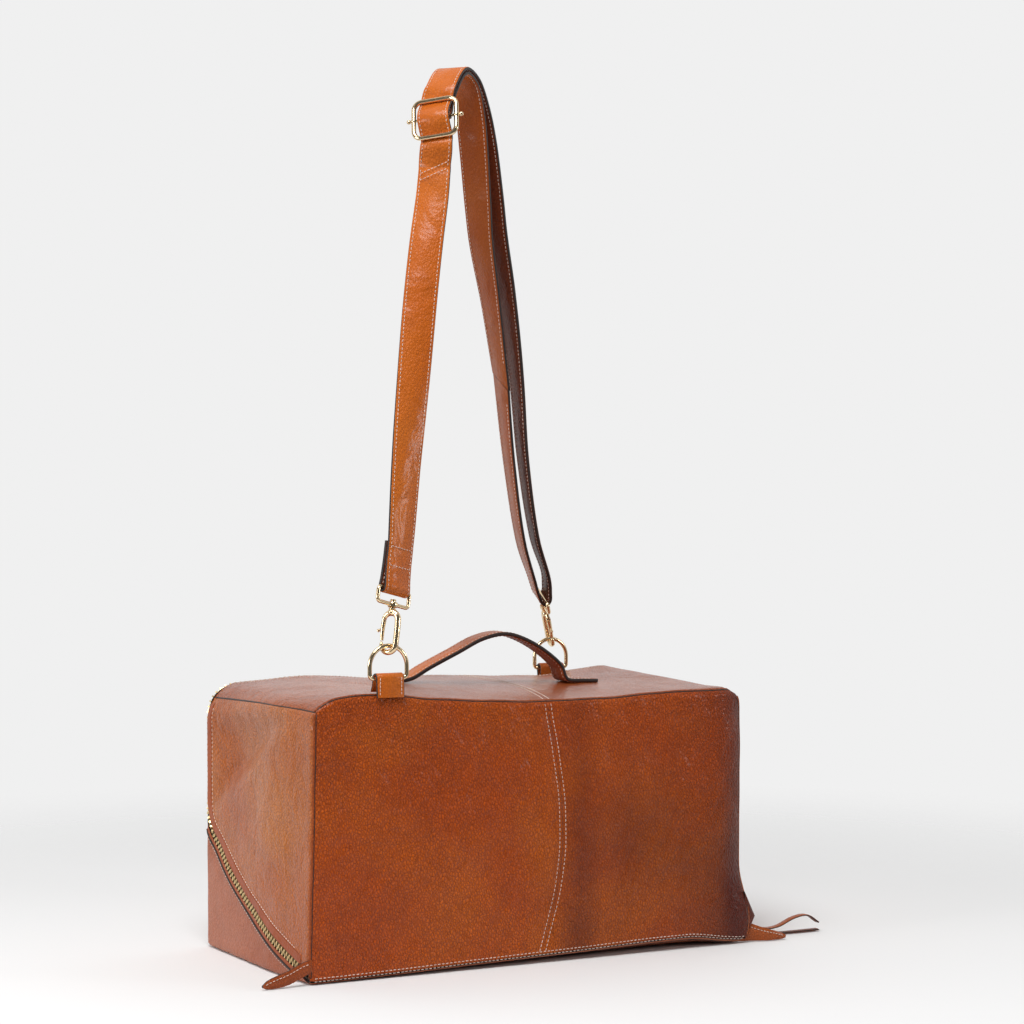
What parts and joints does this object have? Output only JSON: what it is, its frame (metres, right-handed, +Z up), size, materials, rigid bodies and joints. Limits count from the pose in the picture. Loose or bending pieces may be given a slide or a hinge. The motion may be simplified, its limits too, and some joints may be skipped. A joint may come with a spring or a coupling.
{
  "type": "weekender bag",
  "caption": "Box-shaped leather weekender holdall with a zipped clamshell lid, a top handle, two D-rings and a clip-on shoulder strap with snap hooks and a slide buckle",
  "frame": {"origin": "middle of the flat bottom, on the floor", "axes": "+Z up, +X along the bag towards the end with the zip's slider, +Y from the front to the back"},
  "size_m": [0.6585, 0.2734, 0.9096],
  "materials": {
    "tan_leather": "pebbled tan leather with black painted edges",
    "dark_leather": "darker tan strap leather",
    "lining": "plain woven lining",
    "board": "stiff base board",
    "zip_tape": "dark woven zip tape",
    "old_brass": "antique brass",
    "pale_gold": "polished pale gold plating"
  },
  "bodies": {
    "base": {"bottom_panel": "tan_leather", "back_panel": "tan_leather", "hinge_hem": "dark_leather", "left_end_base": "tan_leather", "right_end_base": "tan_leather", "bottom_board": "board", "base_lining": "lining", "zip_teeth_base": "old_brass", "zip_tape_base": "zip_tape", "left_zip_tab": "tan_leather", "right_zip_tab": "tan_leather", "rear_ring_tab": "tan_leather"},
    "lid": {"front_panel_left": "tan_leather", "front_panel_right": "tan_leather", "top_panel_left": "tan_leather", "top_panel_right": "tan_leather", "left_end_lid": "tan_leather", "right_end_lid": "tan_leather", "lid_lining": "lining", "zip_teeth_lid": "old_brass", "zip_tape_lid": "zip_tape", "handle": "dark_leather", "front_ring_tab": "tan_leather"},
    "front_ring": {"front_d_ring": "pale_gold"},
    "rear_ring": {"rear_d_ring": "pale_gold"},
    "strap": {"strap_lower": "tan_leather", "strap_middle": "tan_leather", "strap_upper": "tan_leather", "buckle_frame": "pale_gold", "buckle_bar": "pale_gold", "front_hook_eye": "pale_gold", "rear_hook_eye": "pale_gold"},
    "front_claw": {"front_hook_claw": "pale_gold"},
    "front_gate": {"front_hook_gate": "pale_gold"},
    "rear_claw": {"rear_hook_claw": "pale_gold"},
    "rear_gate": {"rear_hook_gate": "pale_gold"},
    "slider": {"zip_slider": "old_brass"},
    "pull": {"pull_ring": "pale_gold", "pull_strip": "dark_leather"}
  },
  "joints": [
    {"name": "lid_hinge", "type": "hinge", "parent": "base", "child": "lid", "pos_m": [0, -0.126, 0.003], "axis": [1, 0, 0], "range_deg": [0, 88]},
    {"name": "strap_swing", "type": "hinge", "parent": "base", "child": "strap", "pos_m": [-0.157, -0.123, 0.294], "axis": [0.7813, 0.6226, -0.044], "range_deg": [-11, 18]},
    {"name": "front_ring_swing", "type": "hinge", "parent": "lid", "child": "front_ring", "pos_m": [-0.157, -0.123, 0.294], "axis": [1, 0, 0], "range_deg": [-15, 15]},
    {"name": "rear_ring_swing", "type": "hinge", "parent": "base", "child": "rear_ring", "pos_m": [0.163, 0.132, 0.276], "axis": [1, 0, 0], "range_deg": [-15, 15]},
    {"name": "front_hook_swivel", "type": "hinge", "parent": "strap", "child": "front_claw", "pos_m": [-0.14924, -0.11682, 0.36578], "axis": [0.1892, 0.1508, 0.9703], "range_deg": [-4, 4]},
    {"name": "front_gate_hinge", "type": "hinge", "parent": "front_claw", "child": "front_gate", "pos_m": [-0.15641, -0.11319, 0.35219], "axis": [-0.7625, -0.6, 0.2419], "range_deg": [0, 12], "stiffness_Nm_per_rad": 0.02},
    {"name": "rear_hook_swivel", "type": "hinge", "parent": "strap", "child": "rear_claw", "pos_m": [0.14945, 0.1212, 0.34516], "axis": [-0.3305, -0.2634, 0.9063], "range_deg": [-4, 4]},
    {"name": "rear_gate_hinge", "type": "hinge", "parent": "rear_claw", "child": "rear_gate", "pos_m": [0.15294, 0.11809, 0.33008], "axis": [0.9309, -0.2494, 0.267], "range_deg": [0, 12], "stiffness_Nm_per_rad": 0.02},
    {"name": "slider_travel", "type": "hinge", "parent": "base", "child": "slider", "pos_m": [0.25, -0.30082, 0.67593], "axis": [1, 0, 0], "range_deg": [0, 16.5]},
    {"name": "pull_swing", "type": "hinge", "parent": "slider", "child": "pull", "pos_m": [0.2543, -0.09738, 0.0166], "axis": [0, -0.9555, -0.2948], "range_deg": [0, 78]}
  ],
  "couplings": [
    {"joint": "front_ring_swing", "follows": "strap_swing", "ratio": 0.8},
    {"joint": "rear_ring_swing", "follows": "strap_swing", "ratio": 0.8}
  ]
}
